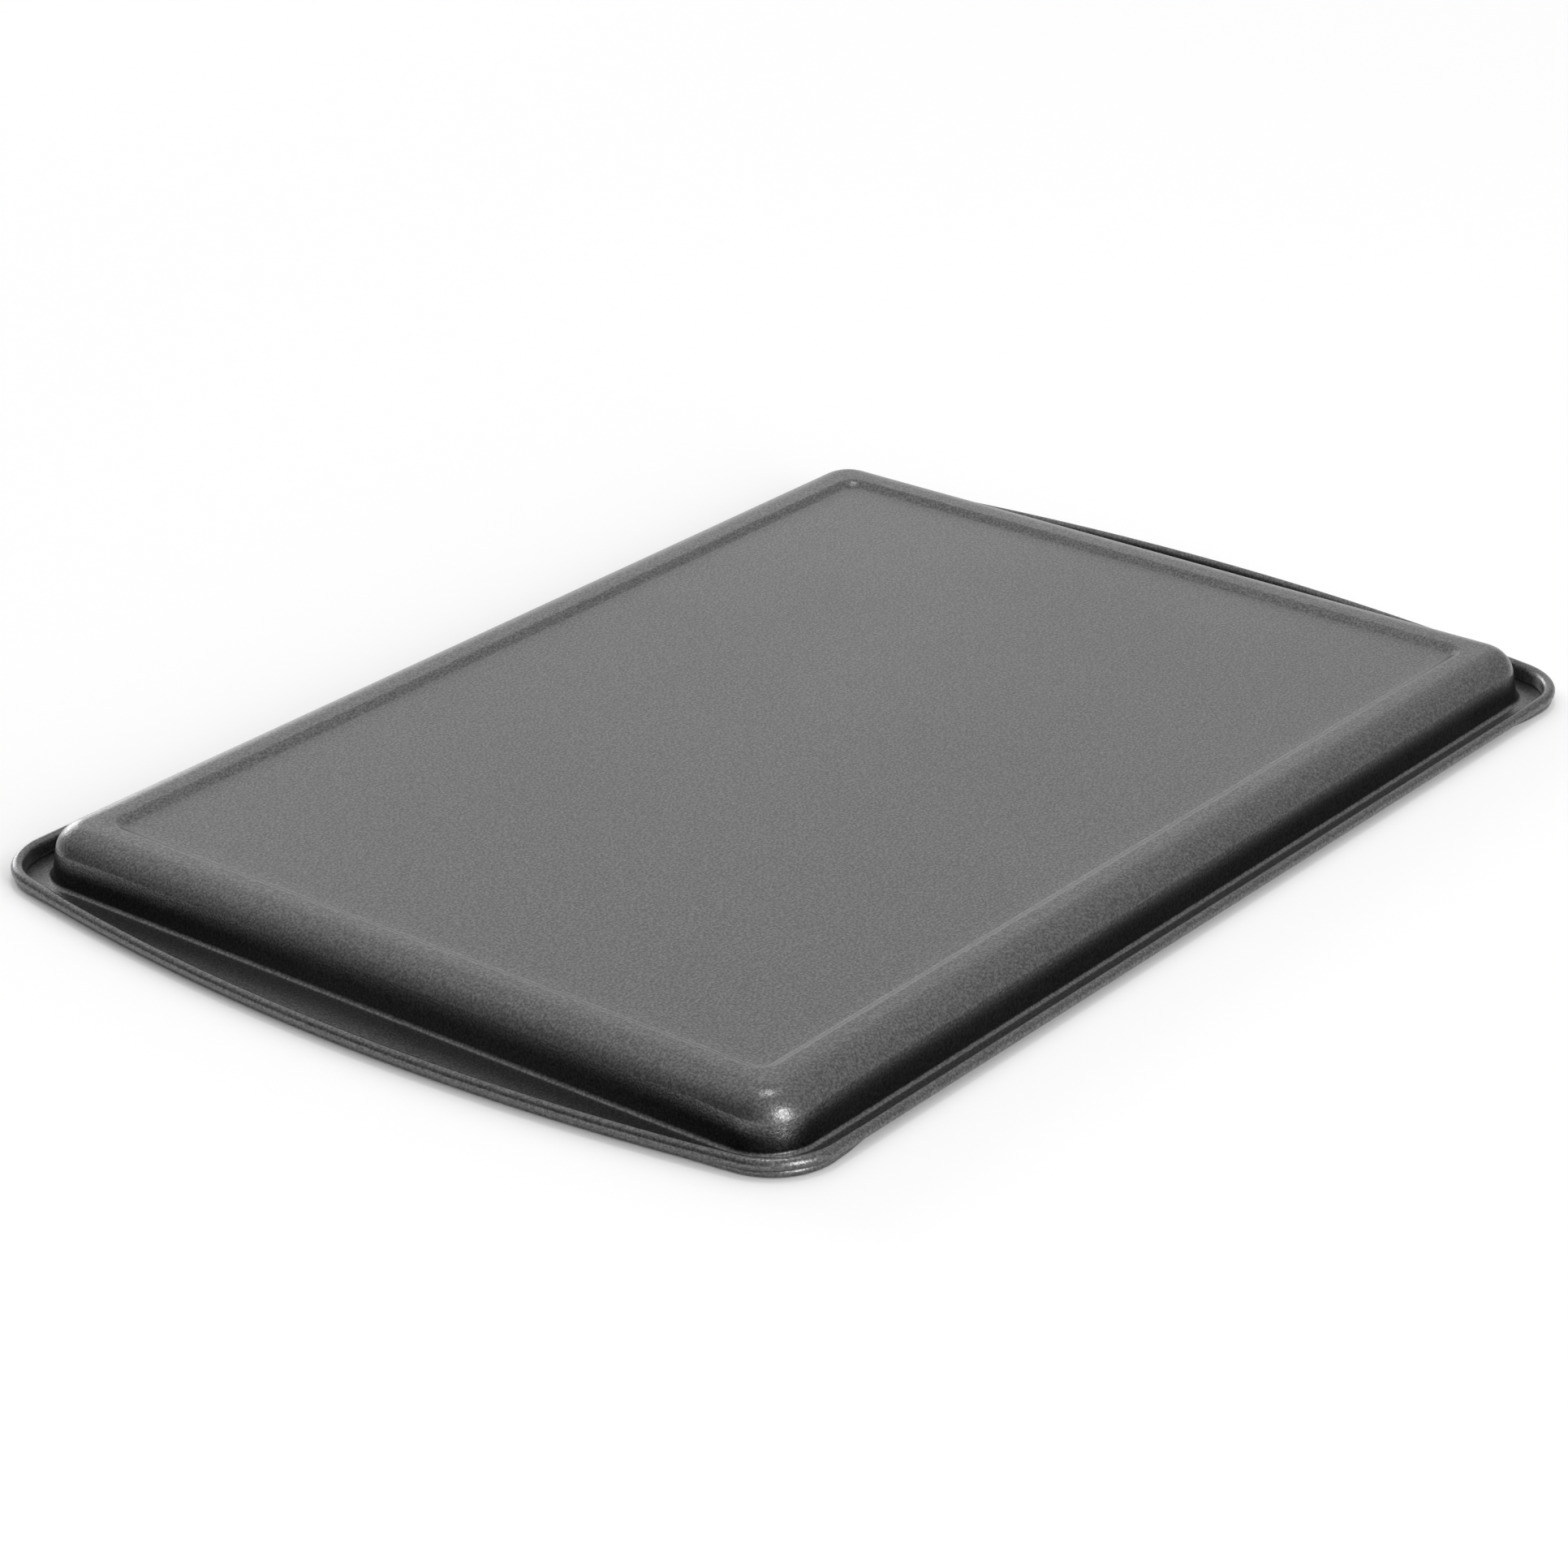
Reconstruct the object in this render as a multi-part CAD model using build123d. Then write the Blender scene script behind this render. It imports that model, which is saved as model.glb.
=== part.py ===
# Jelly roll pan: a shallow drawn steel pan with a rolled rim, lying upside down on that rim.
# Millimetres. X runs along the long sides, Z is up, and the origin is the middle of the
# area that the rim covers on the table. The flange lies on z = 0 and the base is on top.

import os
from math import asin, atan, ceil, cos, degrees, radians, sin, sqrt, tan

from build123d import *

# Sheet and wire
sheet = 0.5
wire_diameter = 1.9
wire_clearance = 0.02

# Drawn body, measured on its outside; the wall's length and width are those at z = 0
pan_height = 14.0
wall_length = 321.3
wall_width = 232.3
wall_corner_radius = 12.5
wall_draft = 13.5
base_edge_radius = 6.6
foot_radius = 1.5

# Panel pressed into the base, which lies lower than the ledge round it in this pose
end_ledge_width = 6.2
side_ledge_width = 6.5
panel_corner_radius = 4.0
panel_step = 1.3
panel_slope_width = 2.7

# Flange, measured from the wall at z = 0 to the wire's centre line: the grips at the ends
# are this wide in their middle and narrower by the bow's rise where their corners start
grip_width = 16.65
grip_bow_rise = 9.9
side_flange_width = 7.55

# Rolled rim
rim_corner_radius = 17.3
bend_radius = 1.3
bend_lean = 48.0
curl_lean = 75.0
curl_end = 235.0

# Round lines in the rim's section are drawn in steps of this many degrees, which keeps its
# corners light in facets, and the wire's section has this many sides
roll_step = 22.5
wire_sides = 12

# How far the cutting bodies overrun the faces that they cut
overrun = 1.0

# The base is smaller than the wall's foot by the draft and by the rounded edge
draft = radians(wall_draft)
base_inset = pan_height * tan(draft)
edge_inset = base_edge_radius * tan((radians(90) - draft) / 2)
ledge_inset = base_inset + edge_inset
panel_length = wall_length - 2 * (ledge_inset + end_ledge_width)
panel_width = wall_width - 2 * (ledge_inset + side_ledge_width)
rim_length = wall_length + 2 * grip_width
rim_width = wall_width + 2 * side_flange_width

# The sheet's curl round the wire and the bend below it
curl_inner_radius = wire_diameter / 2 + wire_clearance
curl_outer_radius = curl_inner_radius + sheet
curl_middle_radius = curl_inner_radius + sheet / 2
bend_middle_radius = bend_radius - sheet / 2
bend_reach = bend_middle_radius * cos(radians(bend_lean))
curl_reach = curl_middle_radius * cos(radians(curl_lean))
bend_centre = curl_reach - bend_reach
bend_rise = bend_middle_radius * sin(radians(bend_lean))
curl_rise = curl_middle_radius * sin(radians(curl_lean))
wire_height = bend_radius + bend_rise + curl_rise

# The rim's plan: straight long sides, bowed short sides and a round corner between them
corner_centre_y = rim_width / 2 - rim_corner_radius
rim_bow_radius = (corner_centre_y**2 + grip_bow_rise**2) / (2 * grip_bow_rise)
bow_centre_x = rim_length / 2 - rim_bow_radius
centre_distance = rim_bow_radius - rim_corner_radius
corner_centre_x = bow_centre_x + sqrt(centre_distance**2 - corner_centre_y**2)
bow_angle = degrees(asin(corner_centre_y / centre_distance))
corner_angle = 90 - bow_angle
corner_axis = Axis((corner_centre_x, corner_centre_y, 0), (0, 0, -1))
bow_axis = Axis((bow_centre_x, 0, 0), (0, 0, -1))
rim_section = Plane(origin=(0, rim_width / 2, 0), x_dir=(0, 1, 0), z_dir=(1, 0, 0))


def drawn_body(inset, bottom):
    """The pressed form from the bottom height up, with every face moved in by the inset."""
    spread = -2 * (bottom * tan(draft) + inset / cos(draft))
    outline = RectangleRounded(
        wall_length + spread, wall_width + spread, wall_corner_radius + spread / 2
    )
    top = pan_height - inset
    body = extrude(Plane.XY.offset(bottom) * outline, top - bottom, taper=wall_draft)
    base_edges = body.edges().group_by(Axis.Z)[-1]
    body = fillet(base_edges, base_edge_radius - inset)
    return body - panel_pocket(top)


def panel_pocket(top):
    """The space over the panel, with a slope up to the ledge on all four sides."""
    slope_angle = degrees(atan(panel_slope_width / panel_step))
    outline = RectangleRounded(
        panel_length - panel_slope_width,
        panel_width - panel_slope_width,
        panel_corner_radius - panel_slope_width / 2,
    )
    floor = Plane.XY.offset(top - panel_step)
    return extrude(floor * outline, panel_step + overrun, taper=-slope_angle)


def rim_outline(offset):
    """The rim's plan, moved out from the wire's centre line by the offset."""
    half_width = rim_width / 2 + offset
    corner = CenterArc(
        (corner_centre_x, corner_centre_y), rim_corner_radius + offset, bow_angle, corner_angle
    )
    bow = CenterArc((bow_centre_x, 0), rim_bow_radius + offset, 0, bow_angle)
    side = Line((corner_centre_x, half_width), (0, half_width))
    quarter = [bow, corner, side]
    half = quarter + [mirror(edge, Plane.YZ) for edge in quarter]
    return make_face(half + [mirror(edge, Plane.XZ) for edge in half])


def rolled_line(centre, radius, start, end):
    """A round line in short equal steps."""
    steps = ceil((end - start) / roll_step)
    arc = CenterArc(centre, radius, start, end - start)
    return Polyline([arc @ (step / steps) for step in range(steps + 1)])


def arc_strip(centre, middle_radius, start, end):
    """A strip of sheet bent round a centre, seen from its edge."""
    outer = rolled_line(centre, middle_radius + sheet / 2, start, end)
    inner = rolled_line(centre, middle_radius - sheet / 2, start, end)
    ends = [Line(inner @ 0, outer @ 0), Line(inner @ 1, outer @ 1)]
    return make_face([outer, inner] + ends)


def rolled_edge():
    """The sheet's section past the flange: a bend upwards, a crease and the curl."""
    bend = arc_strip((bend_centre, bend_radius), bend_middle_radius, -90, bend_lean)
    curl = arc_strip((0, wire_height), curl_middle_radius, -curl_lean, curl_end)
    return rim_section * (bend + curl)


def along_rim(section):
    """Carries a section from the middle of a long side right round the rim."""
    at_corner = Pos(X=corner_centre_x) * section
    at_bow = at_corner.rotate(corner_axis, corner_angle)
    side = extrude(section, corner_centre_x)
    corner = revolve(at_corner, corner_axis, corner_angle)
    bow = revolve(at_bow, bow_axis, bow_angle)
    quarter = side + corner + bow
    half = quarter + mirror(quarter, Plane.YZ)
    return half + mirror(half, Plane.XZ)


def make_shell():
    """The one sheet: panel, ledge, walls, flange and rolled edge."""
    outside = drawn_body(0, 0)
    flange = extrude(rim_outline(bend_centre), sheet)
    shell = outside + flange
    upper_faces = shell.faces().filter_by(Plane.XY).sort_by(lambda f: abs(f.center().Z - sheet))
    shell = fillet(upper_faces[0].inner_wires()[0].edges(), foot_radius)
    shell -= drawn_body(sheet, -overrun)
    lowest = shell.faces().filter_by(Plane.XY).sort_by(Axis.Z)[0]
    shell = fillet(lowest.inner_wires()[0].edges(), foot_radius + sheet)
    return shell + along_rim(rolled_edge())


def make_wire():
    """The steel wire that the edge is rolled round, one closed ring."""
    section = rim_section * Pos(0, wire_height) * RegularPolygon(wire_diameter / 2, wire_sides)
    return along_rim(section)


os.makedirs("parts", exist_ok=True)
shell = make_shell()
print("pan_shell", len(shell.solids()), shell.is_valid, round(shell.volume), shell.bounding_box())
export_step(shell, "parts/pan_shell.step")
wire = make_wire()
print("rim_wire", len(wire.solids()), wire.is_valid, round(wire.volume))
export_step(wire, "parts/rim_wire.step")
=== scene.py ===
from math import asin, cos, pi, radians, sin, sqrt, tan

import bpy
from mathutils import Matrix, Vector


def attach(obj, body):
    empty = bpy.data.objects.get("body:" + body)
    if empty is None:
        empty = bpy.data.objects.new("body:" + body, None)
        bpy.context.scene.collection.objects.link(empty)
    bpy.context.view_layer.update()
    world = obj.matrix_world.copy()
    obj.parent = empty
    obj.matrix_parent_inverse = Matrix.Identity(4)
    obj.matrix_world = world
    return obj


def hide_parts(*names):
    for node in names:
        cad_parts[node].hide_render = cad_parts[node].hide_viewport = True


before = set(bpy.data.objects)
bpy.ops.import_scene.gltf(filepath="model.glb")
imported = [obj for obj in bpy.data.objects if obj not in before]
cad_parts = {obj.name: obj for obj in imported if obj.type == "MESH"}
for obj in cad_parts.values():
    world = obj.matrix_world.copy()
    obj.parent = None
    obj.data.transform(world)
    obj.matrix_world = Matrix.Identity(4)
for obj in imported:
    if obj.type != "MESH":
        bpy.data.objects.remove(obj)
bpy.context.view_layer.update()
print("frame loaded:", ", ".join(sorted(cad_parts)))

mm = 0.001


# small helpers

def smoothStep(value):
    value = min(max(value, 0.0), 1.0)
    return value * value * (3 - 2 * value)


def mixValues(first, second, amount):
    return first + (second - first) * amount


def spread(first, last, steps):
    return [mixValues(first, last, step / steps) for step in range(steps + 1)]


def newNode(tree, kind, inputs=None, **settings):
    # inputs are given by name or by number, as values or as another node's output
    node = tree.nodes.new(kind)
    for name, value in settings.items():
        setattr(node, name, value)
    for name, value in (inputs or {}).items():
        socket = node.inputs[name]
        if isinstance(value, bpy.types.NodeSocket):
            tree.links.new(value, socket)
        else:
            socket.default_value = value
    return node


def joined(tree, operation, first, second):
    return newNode(tree, "ShaderNodeMath", {0: first, 1: second}, operation=operation).outputs[0]


def mapped(tree, value, limits, results):
    # carries a value from between two limits to between two results
    inputs = {"Value": value, "From Min": limits[0], "From Max": limits[1]}
    inputs.update({"To Min": results[0], "To Max": results[1]})
    return newNode(tree, "ShaderNodeMapRange", inputs).outputs["Result"]


def emptyMaterial(name):
    material = bpy.data.materials.new(name)
    material.use_nodes = True
    material.node_tree.nodes.clear()
    return material


# the camera, where the photograph was taken from

view = {
    "aim": (-27.65, -12.51, 13.35),  # a point on the base, mm
    "azimuth": -51.333,  # degrees round from -Y towards +X
    "elevation": 24.870,
    "roll": -0.362,
    "distance": 1123.6,  # mm from the aim
    "lens": 104.684,
    "sensor": 36.0,
    "nearest": 0.05,  # metres
    "farthest": 30.0,
}


def makeCamera():
    azimuth = radians(view["azimuth"])
    elevation = radians(view["elevation"])
    back = Vector((sin(azimuth) * cos(elevation), -cos(azimuth) * cos(elevation), sin(elevation)))
    right = Vector((cos(azimuth), sin(azimuth), 0))
    up = back.cross(right)
    roll = radians(view["roll"])
    rolledRight = cos(roll) * right + sin(roll) * up
    rolledUp = cos(roll) * up - sin(roll) * right
    data = bpy.data.cameras.new("camera")
    data.lens = view["lens"]
    data.sensor_width = view["sensor"]
    data.clip_start = view["nearest"]
    data.clip_end = view["farthest"]
    camera = bpy.data.objects.new("camera", data)
    turn = Matrix((rolledRight, rolledUp, back)).transposed()
    place = (Vector(view["aim"]) + back * view["distance"]) * mm
    camera.matrix_world = Matrix.Translation(place) @ turn.to_4x4()
    bpy.context.collection.objects.link(camera)
    bpy.context.scene.camera = camera
    return back


cameraBack = makeCamera()
print("camera placed")


# the pan's one sheet, from the middle of the base out to the end of the curl and back inside

pan = {
    "sheet": 0.5,
    "height": 14.0,
    "wallHalf": (160.47, 115.96),  # outside of the wall at table level
    "wallCorner": 12.5,
    # the wall's draft, the radius of the shoulder round the base and the shoulder's tilt where
    # it meets the wall in a crease, on straight parts and in the middle of a corner
    "draft": (6.4, 10.0),
    "edgeRadius": (10.0, 7.31),
    "edgeEnd": (57.5, 80.0),
    "bodyCornerShare": 0.45,  # how much of the corner's form the body has at the corner's ends
    "footRadius": 1.34,
    "panelHalf": (145.89, 101.09),  # middle of the step round the panel
    "panelCorner": 4.0,
    "panelStep": 1.3,
    "stepWidth": 3.4,
    "ringCorner": 0.6,  # corner radius of the mesh's rings across the flat panel
    "rimHalf": (177.3, 123.7),  # the wire's centre line
    "bowRadius": 578.0,
    "rimCorner": 17.3,
    "rimCornerShare": 0.6,  # how much of the corner's form the rim has at the corner's ends
    "wireHeight": 3.26,
    "beadRadius": 1.45,
    "beadRadiusAtCorner": 1.56,
    "curlStart": -75.0,
    "curlStartAtSides": -120.0,
    "curlEnd": 178.0,
    "curlFoot": 0.56,  # height to which the curl's end runs down, just above the flange
    "curlFootAtSides": 2.4,
    "curlLean": 0.15,  # how far the curl's end leans inward on its way down
    "bendRadius": 1.3,
    "bendInward": 1.3,  # from the wire's centre to the bend's, at the grips
    "bendInwardAtCorner": 0.39,
    "bendInwardAtSides": 2.7,
    "bendEnd": 48.0,
    "bendEndAtSides": 30.0,
    "gripFade": 0.14,  # share of half a long side over which its rim changes into the grips'
    "sideFade": 0.1,  # shares of half a side and half an end over which a corner's form fades
    "endFade": 0.12,
}

# how finely the outline's parts are divided, and then the section's
meshSteps = {
    "side": 30,
    "corner": 26,
    "end": 24,
    "step": 14,
    "edge": 18,
    "wall": 3,
    "foot": 10,
    "flange": 6,
    "bend": 10,
    "curl": 30,
    "curlFoot": 4,
}
panelRings = (6, 14, 26, 44, 66, 90)  # inset rings across the flat panel, mm


def quarterStations():
    # where each station stands in one quarter of the outline, from the middle of a long side
    # round the corner to the middle of an end
    stations = []
    for part in ("side", "corner", "end"):
        stations += [(part, step / meshSteps[part]) for step in range(meshSteps[part])]
    return stations + [("end", 1.0)]


def boxPoint(half, corner, station):
    # a point of a rounded rectangle, in the quarter where x and y are positive
    part, share = station
    centreX, centreY = half[0] - corner, half[1] - corner
    if part == "side":
        return centreX * share, half[1]
    if part == "end":
        return half[0], centreY * (1 - share)
    angle = radians(90 * (1 - share))
    return centreX + corner * cos(angle), centreY + corner * sin(angle)


def rimPoint(outward, station):
    # a point at this distance outside the wire's centre line, on a side, corner or bowed end
    part, share = station
    halfX, halfY = pan["rimHalf"]
    bow, corner = pan["bowRadius"], pan["rimCorner"]
    bowCentre = halfX - bow
    cornerY = halfY - corner
    cornerX = bowCentre + sqrt((bow - corner) ** 2 - cornerY**2)
    bowAngle = asin(cornerY / (bow - corner))
    if part == "side":
        return cornerX * share, halfY + outward
    if part == "end":
        angle = bowAngle * (1 - share)
        reach = bow + outward
        return bowCentre + reach * cos(angle), reach * sin(angle)
    angle = mixValues(pi / 2, bowAngle, share)
    reach = corner + outward
    return cornerX + reach * cos(angle), cornerY + reach * sin(angle)


def gripShare(station):
    # 0 along a long side, 1 at the corners and along the bowed ends
    part, share = station
    if part == "side":
        return smoothStep((share - (1 - pan["gripFade"])) / pan["gripFade"])
    return 1.0


def cornerShare(station, atEnds):
    # 1 in the middle of a corner, less at the corner's ends and fading into the side and the end
    part, share = station
    if part == "side":
        return smoothStep((share - (1 - pan["sideFade"])) / pan["sideFade"]) * atEnds
    if part == "end":
        return smoothStep((pan["endFade"] - share) / pan["endFade"]) * atEnds
    return mixValues(atEnds, 1, sin(pi * share))


def bodySection(which):
    # the drawn body's outside as rows of (inset from the wall at table level, height, tilt):
    # shoulder, wall and foot, on a straight part (0) or in a corner (1)
    draft = radians(pan["draft"][which])
    wallTilt = pi / 2 - draft
    edgeEnd = radians(pan["edgeEnd"][which])
    edgeRadius, footRadius = pan["edgeRadius"][which], pan["footRadius"]
    wallTop = pan["height"] - edgeRadius * (1 - cos(edgeEnd))
    wallInset = wallTop * tan(draft)
    edgeInset = wallInset + edgeRadius * sin(edgeEnd)
    rows = [
        (edgeInset - edgeRadius * sin(tilt), pan["height"] - edgeRadius * (1 - cos(tilt)), tilt)
        for tilt in spread(0, edgeEnd, meshSteps["edge"])[:-1]
    ]
    rows.append((wallInset, wallTop, (edgeEnd + wallTilt) / 2))
    footInset = pan["sheet"] * tan(draft) - footRadius * tan(wallTilt / 2)
    foot = [
        (footInset + footRadius * sin(tilt), pan["sheet"] + footRadius * (1 - cos(tilt)), tilt)
        for tilt in spread(wallTilt, 0, meshSteps["foot"])
    ]
    rows += [
        (mixValues(wallInset, foot[0][0], share), mixValues(wallTop, foot[0][1], share), wallTilt)
        for share in spread(0, 1, meshSteps["wall"])[1:-1]
    ]
    return rows + foot


bodySections = [bodySection(0), bodySection(1)]


def bodyRows(station, depth):
    # rows of (inset, height) for a face at this depth under the sheet's outside
    share = cornerShare(station, pan["bodyCornerShare"])
    rows = []
    for straightRow, cornerRow in zip(*bodySections):
        pairs = zip(straightRow, cornerRow)
        inset, height, tilt = (mixValues(first, last, share) for first, last in pairs)
        rows.append((inset + depth * sin(tilt), height - depth * cos(tilt)))
    return rows


def panelRows(depth):
    # rows of (outward from the middle of the step, height), from the flat panel to the ledge
    half = pan["stepWidth"] / 2
    low = pan["height"] - pan["panelStep"] - depth
    return [
        (mixValues(-half, half, share), low + pan["panelStep"] * smoothStep(share))
        for share in spread(0, 1, meshSteps["step"])
    ]


def arcRows(outward, height, radius, start, end, steps):
    # rows of (outward, height) along an arc about a centre, between two angles in degrees
    angles = [radians(angle) for angle in spread(start, end, steps)]
    return [(outward + radius * cos(angle), height + radius * sin(angle)) for angle in angles]


def rolledRows(station, depth):
    # rows of (outward from the wire's centre line, height) for the bend and the curl, on a face
    # at this depth under the outside of both
    grip = gripShare(station)
    corner = cornerShare(station, pan["rimCornerShare"])
    bendIn = mixValues(pan["bendInwardAtSides"], pan["bendInward"], grip)
    bendIn = mixValues(bendIn, pan["bendInwardAtCorner"], corner)
    bendEnd = mixValues(pan["bendEndAtSides"], pan["bendEnd"], grip)
    bendRadius = pan["bendRadius"] - depth
    rows = arcRows(-bendIn, pan["bendRadius"], bendRadius, -90, bendEnd, meshSteps["bend"])
    bead = mixValues(pan["beadRadius"], pan["beadRadiusAtCorner"], corner)
    curlCentre = pan["beadRadius"] - bead  # a thicker bead grows inward
    curlStart, curlEnd = mixValues(pan["curlStartAtSides"], pan["curlStart"], grip), pan["curlEnd"]
    curl = arcRows(
        curlCentre, pan["wireHeight"], bead - depth, curlStart, curlEnd, meshSteps["curl"]
    )
    reach, height = curl[-1]
    curlFoot = mixValues(pan["curlFootAtSides"], pan["curlFoot"], grip)
    curl += [
        (reach - pan["curlLean"] * share, mixValues(height, curlFoot, share))
        for share in spread(0, 1, meshSteps["curlFoot"])[1:]
    ]
    return rows + curl


def sectionPoints(station):
    # the section at one station in one quarter, as a row of points for each of the sheet's two
    # faces, from the inmost ring on the panel out to the end of the curl
    faces = []
    for depth in (0.0, pan["sheet"]):
        face = []
        panelX, panelY = pan["panelHalf"]
        panelHeight = pan["height"] - pan["panelStep"] - depth
        for ring in reversed(panelRings):
            half = (panelX - ring, panelY - ring)
            face.append((*boxPoint(half, pan["ringCorner"], station), panelHeight))
        for outward, height in panelRows(depth):
            half = (panelX + outward, panelY + outward)
            face.append((*boxPoint(half, pan["panelCorner"] + outward, station), height))
        for inset, height in bodyRows(station, depth):
            half = (pan["wallHalf"][0] - inset, pan["wallHalf"][1] - inset)
            face.append((*boxPoint(half, pan["wallCorner"] - inset, station), height))
        # the body's outer face goes on as the inner face of the bend and the curl
        rolled = [
            (*rimPoint(outward, station), height)
            for outward, height in rolledRows(station, pan["sheet"] - depth)
        ]
        footEnd, bendStart = face[-1], rolled[0]
        for share in spread(0, 1, meshSteps["flange"])[1:-1]:
            pairs = zip(footEnd, bendStart)
            face.append(tuple(mixValues(foot, bend, share) for foot, bend in pairs))
        faces.append(face + rolled)
    return faces


def makePan():
    quarter = [sectionPoints(station) for station in quarterStations()]
    stations, rows = len(quarter), len(quarter[0][0])
    # the quarter is mirrored into a whole ring of stations, going round once
    around = [(index, 1, 1) for index in range(stations)]
    around += [(index, 1, -1) for index in range(stations - 2, -1, -1)]
    around += [(index, -1, -1) for index in range(1, stations)]
    around += [(index, -1, 1) for index in range(stations - 2, 0, -1)]
    count = len(around)
    layer = rows * count  # points on one face of the sheet
    verts = []
    for side in (0, 1):
        for row in range(rows):
            for index, signX, signY in around:
                x, y, z = quarter[index][side][row]
                verts.append((x * signX * mm, y * signY * mm, z * mm))
    faces = []
    for row in range(rows - 1):
        for step in range(count):
            following = (step + 1) % count
            a, b = row * count + step, row * count + following
            c, d = a + count, b + count
            faces.append((a, c, d, b))
            faces.append((a + layer, b + layer, d + layer, c + layer))
    # the cut edge at the end of the curl, and the middle of the panel on both faces
    for step in range(count):
        following = (step + 1) % count
        a, b = (rows - 1) * count + step, (rows - 1) * count + following
        faces.append((a, a + layer, b + layer, b))
    faces.append(tuple(range(count)))
    faces.append(tuple(layer + step for step in reversed(range(count))))
    mesh = bpy.data.meshes.new("panSheet")
    mesh.from_pydata(verts, [], faces)
    mesh.update()
    mesh.validate()
    piece = bpy.data.objects.new("panSheet", mesh)
    bpy.context.collection.objects.link(piece)
    for polygon in mesh.polygons:
        polygon.use_smooth = True
    # the crease between the shoulder and the wall, on the outside
    creaseRow = len(panelRings) + meshSteps["step"] + 1 + meshSteps["edge"]
    crease = set(range(creaseRow * count, (creaseRow + 1) * count))
    for edge in mesh.edges:
        if crease.issuperset(edge.vertices):
            edge.use_edge_sharp = True
    return piece


panSheet = makePan()
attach(panSheet, "root")
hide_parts("pan_shell")
print("pan made:", len(panSheet.data.polygons), "faces")


# the coating and the wire's steel

def metalSurface(tree, colour, roughness, relief, look):
    inputs = {"Height": relief, "Strength": look["reliefStrength"], "Distance": look["reliefHeight"]}
    bump = newNode(tree, "ShaderNodeBump", inputs)
    inputs = {"Base Color": colour, "Roughness": roughness, "Normal": bump.outputs["Normal"]}
    shader = newNode(tree, "ShaderNodeBsdfPrincipled", {**inputs, "Metallic": 1.0})
    newNode(tree, "ShaderNodeOutputMaterial", {"Surface": shader.outputs["BSDF"]})


coating = {
    "colour": (0.095, 0.095, 0.097, 1),
    "fleckColour": (0.2, 0.2, 0.202, 1),
    "fleckSize": 0.0006,  # metres
    "fleckDetail": 2.0,
    "fleckRoughness": 0.6,
    "fleckRange": (0.38, 0.66),  # grain where the colour starts and ends its change to the fleck's
    "roughness": (0.27, 0.33),  # from the smoothest patches to the roughest
    "patchScale": 14.0,
    "patchDetail": 3.0,
    "patchRange": (0.3, 0.7),
    "reliefStrength": 0.6,
    "reliefHeight": 0.0001,
}


def makeCoating():
    material = emptyMaterial("darkCoating")
    tree = material.node_tree
    place = newNode(tree, "ShaderNodeTexCoord").outputs["Object"]
    inputs = {"Vector": place, "Scale": 1 / coating["fleckSize"], "Detail": coating["fleckDetail"]}
    inputs["Roughness"] = coating["fleckRoughness"]
    grain = newNode(tree, "ShaderNodeTexNoise", inputs).outputs["Fac"]
    inputs = {"Vector": place, "Scale": coating["patchScale"], "Detail": coating["patchDetail"]}
    patches = newNode(tree, "ShaderNodeTexNoise", inputs).outputs["Fac"]
    fleck = mapped(tree, grain, coating["fleckRange"], (0, 1))
    inputs = {"Factor": fleck, 6: coating["colour"], 7: coating["fleckColour"]}  # 6 and 7: colours
    colour = newNode(tree, "ShaderNodeMix", inputs, data_type="RGBA").outputs[2]
    rough = mapped(tree, patches, coating["patchRange"], coating["roughness"])
    metalSurface(tree, colour, rough, grain, coating)
    return material


wireSteel = {
    "colour": (0.45, 0.45, 0.46, 1),
    "roughness": (0.28, 0.44),
    "lineScale": 900.0,  # of the fine lines from drawing the wire
    "lineDetail": 3.0,
    "reliefStrength": 0.3,
    "reliefHeight": 0.00001,
}


def makeWireSteel():
    material = emptyMaterial("drawnWireSteel")
    tree = material.node_tree
    place = newNode(tree, "ShaderNodeTexCoord").outputs["Object"]
    inputs = {"Vector": place, "Scale": wireSteel["lineScale"], "Detail": wireSteel["lineDetail"]}
    lines = newNode(tree, "ShaderNodeTexNoise", inputs).outputs["Fac"]
    rough = mapped(tree, lines, (0, 1), wireSteel["roughness"])
    metalSurface(tree, wireSteel["colour"], rough, lines, wireSteel)
    return material


panSheet.data.materials.append(makeCoating())
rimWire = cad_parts["rim_wire"]
rimWire.material_slots[0].material = makeWireSteel()
print("materials made")


# floor and light; a turn is in degrees to the left of the way the camera looks

studio = {
    "floorColour": (0.95, 0.95, 0.95, 1),
    "floorLift": 0.05,  # light the camera and the reflections see in the floor besides its shade
    "floorHalf": 6.0,
    # parts of the room: where their middles are, the cosines of the angles from there at which
    # the light starts and ends its change, and its values at both
    "leftDim": {"turn": 118.0, "height": 0.0, "reach": (0.28, 0.9), "light": (1.06, 0.24)},
    "rightDim": {"turn": -60.0, "height": -20.0, "reach": (0.38, 0.75), "light": (1.0, 0.72)},
    "backGlow": {"turn": 0.0, "height": 0.0, "reach": (0.84, 0.96), "light": (0.0, 0.4)},
    # lamps, with their sizes in degrees as seen from the pan
    "lampDistance": 3.0,
    "backLamp": {"turn": 31.0, "height": 11.0, "width": 24.0, "tall": 20.0, "strength": 5.0},
    "frontLamp": {"turn": -147.0, "height": 16.0, "width": 18.0, "tall": 36.0, "strength": 7.5},
    "topLamp": {"turn": -14.0, "height": 83.0, "width": 11.0, "tall": 10.0, "strength": 10.0},
}


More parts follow.
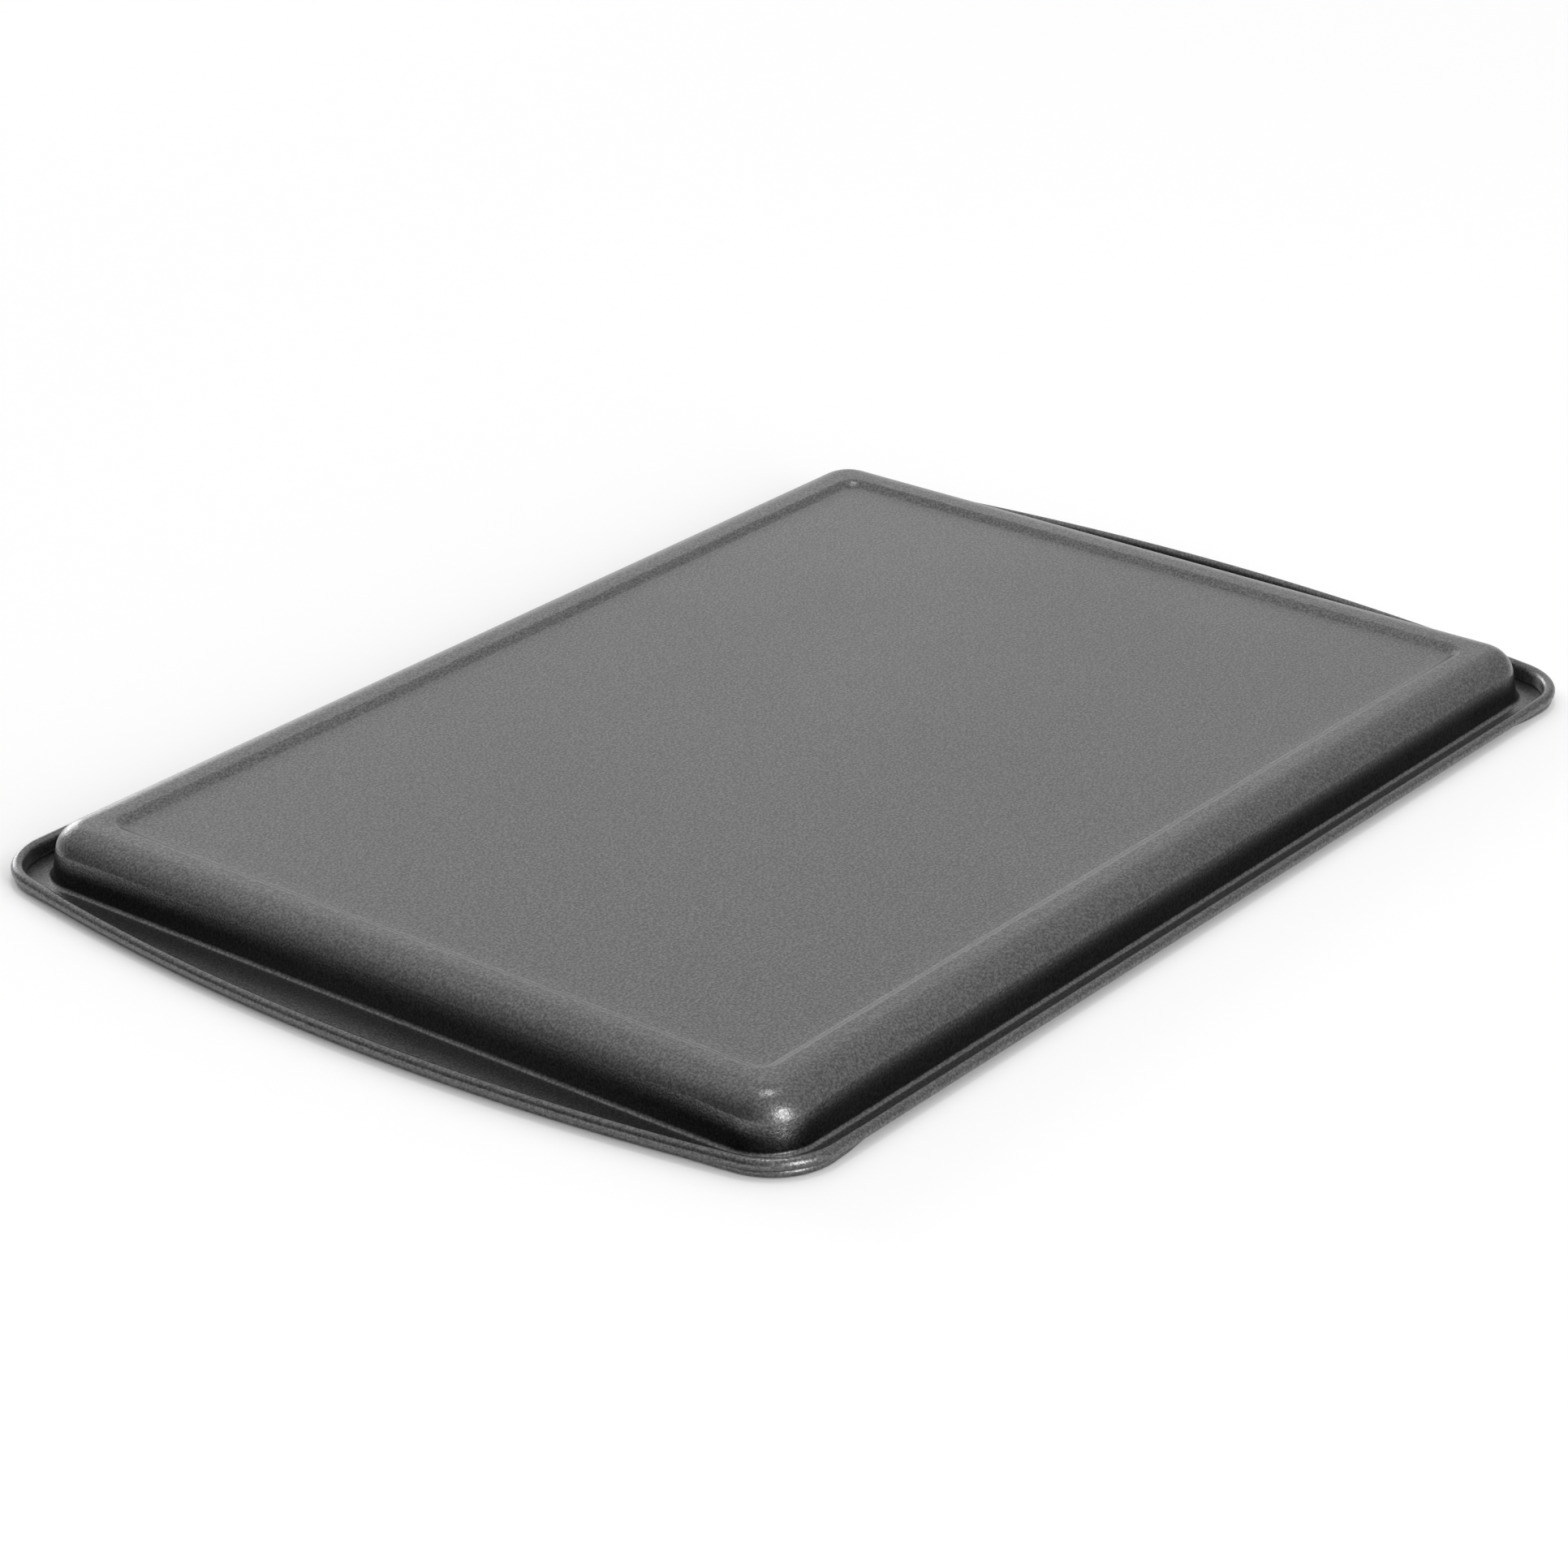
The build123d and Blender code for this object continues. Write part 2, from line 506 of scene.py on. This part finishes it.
def makeFloor():
    half = studio["floorHalf"]
    corners = [(-half, -half, 0), (half, -half, 0), (half, half, 0), (-half, half, 0)]
    mesh = bpy.data.meshes.new("studioFloor")
    mesh.from_pydata(corners, [], [(0, 1, 2, 3)])
    floor = bpy.data.objects.new("studioFloor", mesh)
    bpy.context.collection.objects.link(floor)
    material = emptyMaterial("paleFloor")
    tree = material.node_tree
    rays = newNode(tree, "ShaderNodeLightPath").outputs
    seen = joined(tree, "MAXIMUM", rays["Is Camera Ray"], rays["Is Glossy Ray"])
    seen = joined(tree, "MAXIMUM", seen, rays["Is Transmission Ray"])
    strength = joined(tree, "MULTIPLY", seen, studio["floorLift"])
    paint = newNode(tree, "ShaderNodeBsdfDiffuse", {"Color": studio["floorColour"]})
    glow = newNode(tree, "ShaderNodeEmission", {"Strength": strength})
    both = newNode(tree, "ShaderNodeAddShader", {0: paint.outputs[0], 1: glow.outputs[0]})
    newNode(tree, "ShaderNodeOutputMaterial", {"Surface": both.outputs[0]})
    floor.data.materials.append(material)


def wayFrom(turn, height):
    # the direction at this turn and this height above the table, in degrees
    ahead = Vector((-cameraBack.x, -cameraBack.y, 0)).normalized()
    left = Vector((-ahead.y, ahead.x, 0))
    level = cos(radians(turn)) * ahead + sin(radians(turn)) * left
    return level * cos(radians(height)) + Vector((0, 0, sin(radians(height))))


def makeSoftLamp(name, lamp):
    distance = studio["lampDistance"]
    way = wayFrom(lamp["turn"], lamp["height"])
    data = bpy.data.lights.new(name, "AREA")
    data.shape = "RECTANGLE"
    data.size = 2 * distance * tan(radians(lamp["width"] / 2))
    data.size_y = 2 * distance * tan(radians(lamp["tall"] / 2))
    data.energy = lamp["strength"] * pi * data.size * data.size_y
    light = bpy.data.objects.new(name, data)
    light.location = way * distance
    light.rotation_mode = "QUATERNION"
    light.rotation_quaternion = way.to_track_quat("Z", "Y")
    light.visible_camera = False
    bpy.context.collection.objects.link(light)


def makeRoom():
    world = bpy.data.worlds.new("softRoom")
    bpy.context.scene.world = world
    world.use_nodes = True
    tree = world.node_tree
    tree.nodes.clear()
    direction = newNode(tree, "ShaderNodeTexCoord").outputs["Generated"]

    def partLight(part):
        inputs = {0: direction, 1: wayFrom(part["turn"], part["height"])}
        near = newNode(tree, "ShaderNodeVectorMath", inputs, operation="DOT_PRODUCT")
        return mapped(tree, near.outputs["Value"], part["reach"], part["light"])

    leftDim = partLight(studio["leftDim"])
    rightDim = partLight(studio["rightDim"])
    backGlow = partLight(studio["backGlow"])
    strength = joined(tree, "ADD", joined(tree, "MULTIPLY", leftDim, rightDim), backGlow)
    background = newNode(tree, "ShaderNodeBackground", {"Strength": strength})
    newNode(tree, "ShaderNodeOutputWorld", {"Surface": background.outputs[0]})


makeSoftLamp("backLamp", studio["backLamp"])
makeSoftLamp("frontLamp", studio["frontLamp"])
makeSoftLamp("topLamp", studio["topLamp"])
makeFloor()
makeRoom()
bpy.context.scene.view_settings.view_transform = "Standard"
print("floor and light ready")
